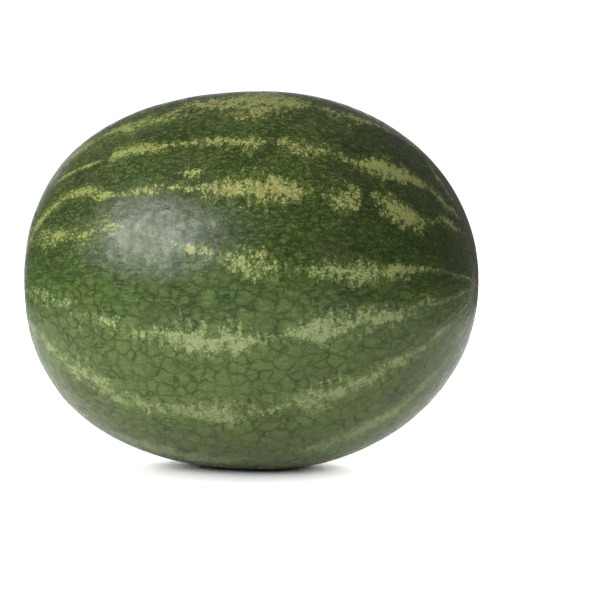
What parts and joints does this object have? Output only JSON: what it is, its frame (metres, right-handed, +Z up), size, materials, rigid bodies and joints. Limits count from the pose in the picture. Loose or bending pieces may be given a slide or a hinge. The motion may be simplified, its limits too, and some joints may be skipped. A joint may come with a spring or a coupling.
{
  "type": "watermelon",
  "caption": "Whole striped watermelon, slightly longer than wide, lying on its side on a small flat spot, with a dried stem stub at one end and a blossom scar at the other.",
  "frame": {"origin": "on the surface that the fruit rests on, under the middle of its box", "axes": "+X along the fruit from the stem end to the blossom end, +Z up, +Y to the left of someone who looks along +X"},
  "size_m": [0.2836, 0.2412, 0.2402],
  "materials": {
    "rind": "smooth waxy rind, satin, dark green with narrow broken yellow-green bands from end to end"
  },
  "bodies": {
    "root": {"watermelon": "rind"}
  },
  "joints": []
}
